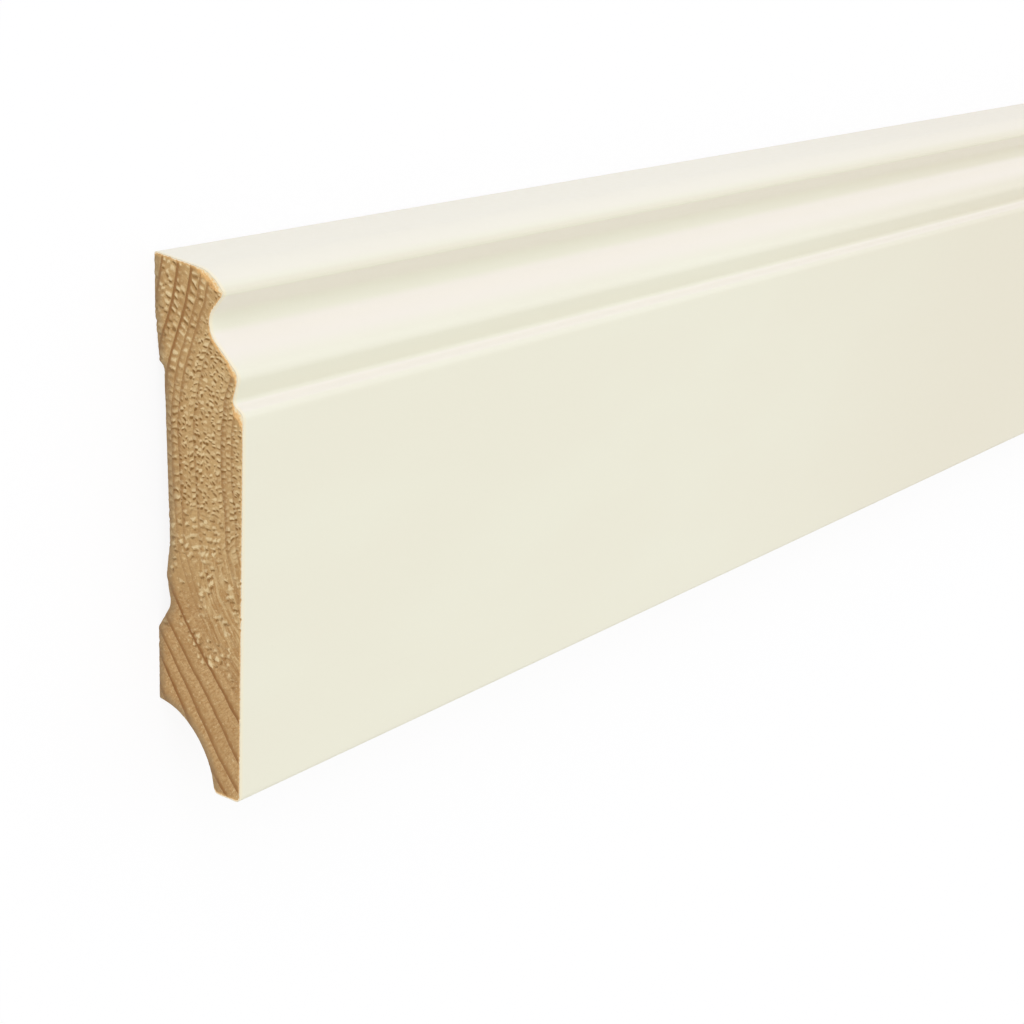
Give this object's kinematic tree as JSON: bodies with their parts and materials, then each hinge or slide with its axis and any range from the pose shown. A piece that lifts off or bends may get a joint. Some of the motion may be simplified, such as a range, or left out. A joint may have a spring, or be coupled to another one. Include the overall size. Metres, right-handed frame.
{
  "type": "skirting board length",
  "caption": "Painted softwood skirting length with a moulded top edge, a plain tall face, a shallow relief on its back and a cable channel cut out behind its foot.",
  "frame": {"origin": "middle of the length and of the height, on the back plane that lies on the floor", "axes": "+X along the length, +Y from the foot to the moulded top edge, +Z out of the painted face"},
  "size_m": [2.4, 0.08, 0.019],
  "materials": {
    "painted_pine": "cream satin paint on the face, top and foot, bare planed pine on the back, sawn end grain at both ends"
  },
  "bodies": {
    "root": {"skirting_board": "painted_pine"}
  },
  "joints": []
}
